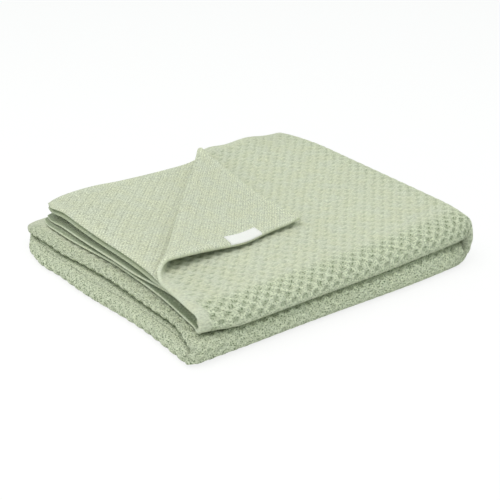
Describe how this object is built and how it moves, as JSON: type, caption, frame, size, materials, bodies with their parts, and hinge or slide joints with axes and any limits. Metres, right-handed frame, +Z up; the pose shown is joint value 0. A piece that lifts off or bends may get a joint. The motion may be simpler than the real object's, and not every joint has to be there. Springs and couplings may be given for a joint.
{
  "type": "folded knitted crib blanket",
  "caption": "Honeycomb-knit crib blanket folded into a flat pile, big fold at one end, free edges at the other, top corner turned over with a sewn blank label.",
  "frame": {"origin": "middle of the pile's footprint, at the surface it lies on", "axes": "+X along the longer side from the free edges to the big end fold, +Y from the folded front side to the open back side, +Z up"},
  "size_m": [0.3768, 0.3252, 0.0626],
  "materials": {
    "knit": "soft matt cotton knit, pale sage green, honeycomb relief on one side and plain knit on the other",
    "label": "white woven ribbon, left blank"
  },
  "bodies": {
    "root": {"blanket": "knit", "label": "label"}
  },
  "joints": []
}
